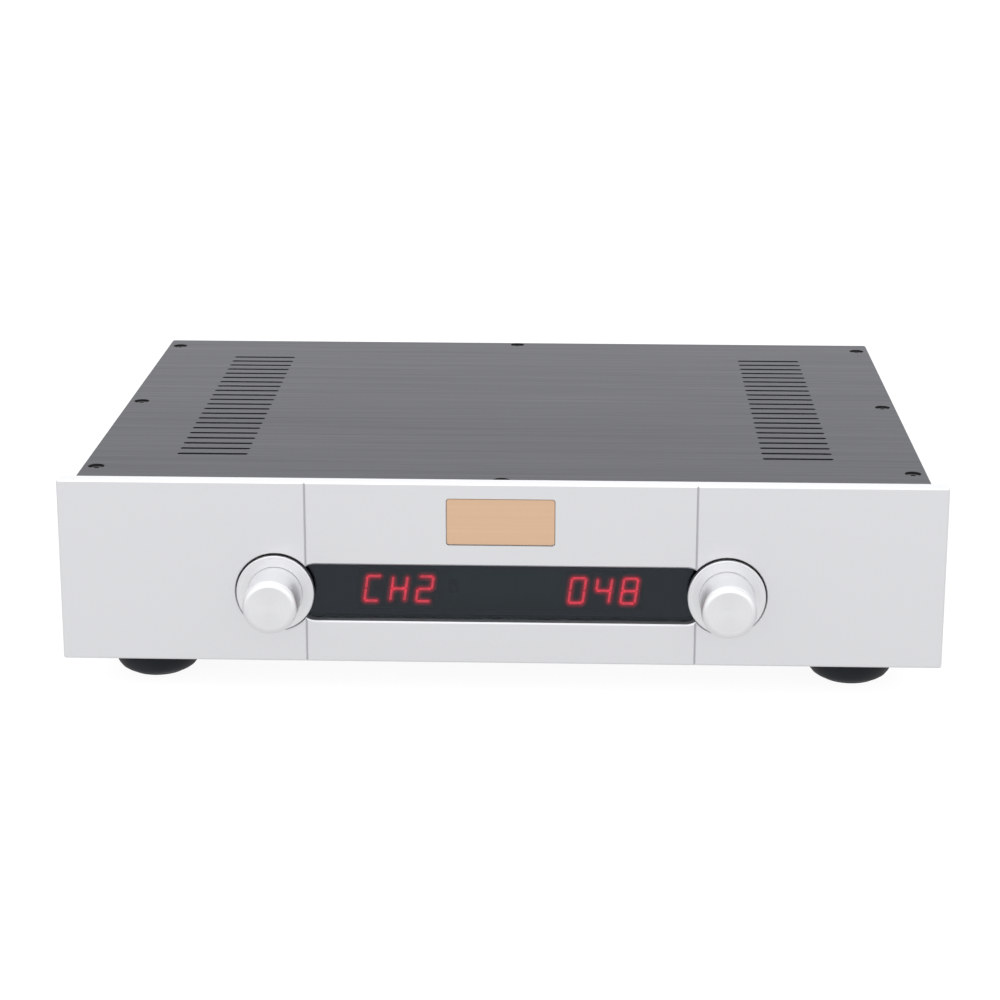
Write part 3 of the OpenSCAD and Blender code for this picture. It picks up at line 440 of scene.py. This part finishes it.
def outlines(name):
    """The outline of each lit segment's front, as points (x, z) in order."""
    mesh = nodes[name].data
    group = {}

    def root(key):
        while group.setdefault(key, key) != key:
            key = group[key]
        return key

    for face in mesh.polygons:
        if face.normal.y < -0.9:
            places = [mesh.vertices[i].co for i in face.vertices]
            keys = [(round(place.x * 1e6), round(place.z * 1e6)) for place in places]
            for key in keys[1:]:
                group[root(key)] = root(keys[0])
    islands = {}
    for key in list(group):
        islands.setdefault(root(key), []).append(Vector(key) * 1e-6)
    for points in islands.values():
        ring = [points[i] for i in convex_hull_2d(points)]
        area = sum(a.x * b.y - b.x * a.y for a, b in zip(ring, ring[1:] + ring[:1]))
        yield ring if area > 0 else ring[::-1]


def halo(name, source, reach, y):
    """A skirt around each segment. Its attribute glow falls from 1 at the segment to 0 at reach."""
    places, faces, glow = [], [], []
    for number, ring in enumerate(outlines(source)):
        level = y - number * 0.004 * MM
        facing = []
        for here, after in zip(ring, ring[1:] + ring[:1]):
            along = after - here
            facing.append(math.atan2(-along.x, along.y))
        inner, outer = [], []
        for k, point in enumerate(ring):
            turn = (facing[k] - facing[k - 1]) % math.tau
            inner.append(len(places))
            places.append((point.x, level, point.y))
            glow.append(1.0)
            fan = []
            for step in range(4):
                a = facing[k - 1] + turn * step / 3
                fan.append(len(places))
                places.append((point.x + reach * math.cos(a), level, point.y + reach * math.sin(a)))
                glow.append(0.0)
            outer.append(fan)
        for k in range(len(ring)):
            faces += [(inner[k], a, b) for a, b in zip(outer[k], outer[k][1:])]
            n = (k + 1) % len(ring)
            faces.append((inner[k], outer[k][-1], outer[n][0], inner[n]))
    mesh = bpy.data.meshes.new(name)
    mesh.from_pydata(places, [], faces)
    mesh.attributes.new("glow", "FLOAT", "POINT").data.foreach_set("value", glow)
    piece = bpy.data.objects.new(name, mesh)
    bpy.context.scene.collection.objects.link(piece)
    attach(piece, "case")
    return piece


def glowing(name, colour, strength):
    """Light scattered in the display's lens: it adds to what is behind it."""
    f = Finish(name, colour, 0.5)
    fade = f.node("ShaderNodeAttribute", attribute_name="glow").outputs["Fac"]
    mottle = f.spread(f.noise(900, 2), strength * 0.85, strength * 1.15)
    light = f.node("ShaderNodeEmission")
    light.inputs["Color"].default_value = (*colour, 1)
    f.feed(light.inputs["Strength"], f.math("MULTIPLY", f.math("POWER", fade, 1.6), mottle))
    added = f.node("ShaderNodeAddShader")
    f.feed(added.inputs[0], light.outputs[0])
    f.feed(added.inputs[1], f.node("ShaderNodeBsdfTransparent").outputs[0])
    f.feed(f.tree.nodes["Material Output"].inputs["Surface"], added.outputs[0])
    return f


segment_halo = halo("segment_halo", "lit_segments", 2.2 * MM, SEGMENT_FACE - 0.02 * MM)
segment_halo.data.materials.append(glowing("red_glow", (1.0, 0.02, 0.05), 1.15).material)


# ---- Stage, light and camera ----

def stage_plane(name, size, material):
    mesh = bpy.data.meshes.new(name)
    s = size / 2
    mesh.from_pydata([(-s, -s, 0), (s, -s, 0), (s, s, 0), (-s, s, 0)], [], [(0, 1, 2, 3)])
    mesh.materials.append(material)
    plane = bpy.data.objects.new(name, mesh)
    bpy.context.scene.collection.objects.link(plane)


floor_finish = Finish("floor_paper", (0.06, 0.06, 0.06), 0.9)
floor_finish.shader.inputs["Emission Color"].default_value = (1, 1, 1, 1)
floor_finish.shader.inputs["Emission Strength"].default_value = 0.935
floor_finish.vary_colour(floor_finish.noise(3, 2), (0.058, 0.058, 0.059))
floor_finish.bump(floor_finish.noise(300, 2), 0.02 * MM, 0.2)
stage_plane("floor", 16, floor_finish.material)


def softbox(name, at, target, size, watts):
    light = bpy.data.lights.new(name, "AREA")
    light.size = size
    light.energy = watts
    lamp = bpy.data.objects.new(name, light)
    lamp.location = at
    lamp.rotation_euler = (Vector(target) - Vector(at)).to_track_quat("-Z", "Y").to_euler()
    bpy.context.scene.collection.objects.link(lamp)


softbox("top_softbox", (-0.4, -0.3, 1.7), (0, 0, 0), 1.4, 3)

# A white tent: brighter behind the amplifier, with a second glow above the horizon in front
world = bpy.data.worlds.new("studio")
bpy.context.scene.world = world
world.use_nodes = True
tree = world.node_tree
towards = tree.nodes.new("ShaderNodeSeparateXYZ")
tree.links.new(tree.nodes.new("ShaderNodeTexCoord").outputs["Generated"], towards.inputs[0])


def rising(axis, start, end, low, high):
    """A brightness that goes from low to high as the direction's axis goes from start to end."""
    made = tree.nodes.new("ShaderNodeMapRange")
    made.interpolation_type = "SMOOTHSTEP"
    tree.links.new(towards.outputs[axis], made.inputs["Value"])
    for key, number in (("From Min", start), ("From Max", end), ("To Min", low), ("To Max", high)):
        made.inputs[key].default_value = number
    return made.outputs[0]


def combined(operation, first, second):
    made = tree.nodes.new("ShaderNodeMath")
    made.operation = operation
    tree.links.new(first, made.inputs[0])
    tree.links.new(second, made.inputs[1])
    return made.outputs[0]


in_front = combined("MULTIPLY", rising(1, -0.75, 0.0, 0.9, 0.0), rising(2, 0.0, 0.2, 0.0, 1.0))
all_round = rising(1, -1.0, 1.0, 1.15, 1.6)
tree.links.new(combined("ADD", in_front, all_round), tree.nodes["Background"].inputs["Strength"])
tree.nodes["Background"].inputs["Color"].default_value = (1, 1, 1, 1)

# The camera, with its angles in radians
YAW, PITCH, ROLL = -0.03168, 0.27711, -0.0014
CAMERA_AT = (37.470 * MM, PANEL_FACE - 1191.758 * MM, PANEL_LOW + 422.306 * MM)
look = Vector((math.sin(YAW) * math.cos(PITCH), math.cos(YAW) * math.cos(PITCH), -math.sin(PITCH)))
side = Vector((math.cos(YAW), -math.sin(YAW), 0))
down = look.cross(side)
right = side * math.cos(ROLL) + down * math.sin(ROLL)
up = side * math.sin(ROLL) - down * math.cos(ROLL)
facing = Matrix((right, up, -look)).transposed().to_4x4()
lens = bpy.data.cameras.new("camera")
lens.sensor_width = 36
lens.lens = 92.792
camera = bpy.data.objects.new("camera", lens)
camera.matrix_world = Matrix.Translation(CAMERA_AT) @ facing
bpy.context.scene.collection.objects.link(camera)
bpy.context.scene.camera = camera
bpy.context.scene.view_settings.view_transform = "Standard"
